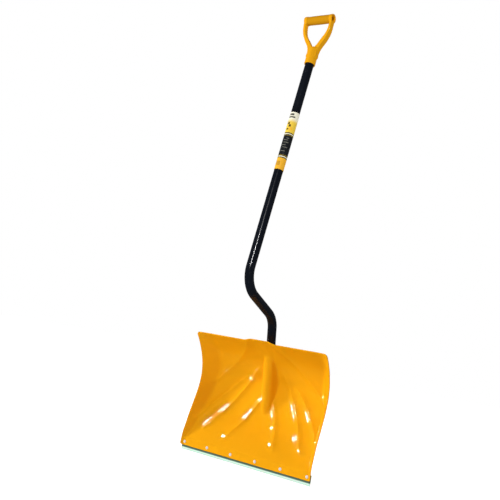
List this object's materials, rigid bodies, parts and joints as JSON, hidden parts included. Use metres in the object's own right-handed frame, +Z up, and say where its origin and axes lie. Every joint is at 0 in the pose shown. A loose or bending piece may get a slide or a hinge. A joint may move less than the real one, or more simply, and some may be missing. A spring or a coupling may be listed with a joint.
{
  "type": "snow shovel",
  "caption": "Scoop snow shovel with a ribbed orange plastic blade, a riveted wear strip, a bent dark metal shaft and a D-grip",
  "frame": {"origin": "the middle of the lower face of the wear strip, which is the edge that rides on the ground", "axes": "+Z is up, towards the grip; -Y is the front, the hollow side that gathers snow; +X is the shovel's left-hand side as it faces forward, to the right as seen from the front"},
  "size_m": [0.4622, 0.238, 1.3776],
  "materials": {
    "blade_plastic": "orange-yellow moulded polypropylene with a soft sheen, glossier on the ribs",
    "grip_plastic": "orange-yellow moulded plastic, a shade browner than the blade",
    "strip_nylon": "milky pale green-white nylon, slightly translucent",
    "shaft_paint": "glossy blue-black powder paint on steel tube",
    "rivet_metal": "plain domed aluminium, lightly scuffed",
    "screw_steel": "zinc-plated steel",
    "label_print": "printed film in cream, yellow and black bands, with no lettering"
  },
  "bodies": {
    "root": {"blade": "blade_plastic", "wear_strip": "strip_nylon", "rivet_1": "rivet_metal", "rivet_2": "rivet_metal", "rivet_3": "rivet_metal", "rivet_4": "rivet_metal", "rivet_5": "rivet_metal", "rivet_6": "rivet_metal", "rivet_washer_1": "rivet_metal", "rivet_washer_2": "rivet_metal", "rivet_washer_3": "rivet_metal", "rivet_washer_4": "rivet_metal", "rivet_washer_5": "rivet_metal", "rivet_washer_6": "rivet_metal", "shaft": "shaft_paint", "d_grip": "grip_plastic", "socket_screw": "screw_steel", "grip_screw": "screw_steel", "shaft_label": "label_print"}
  },
  "joints": []
}
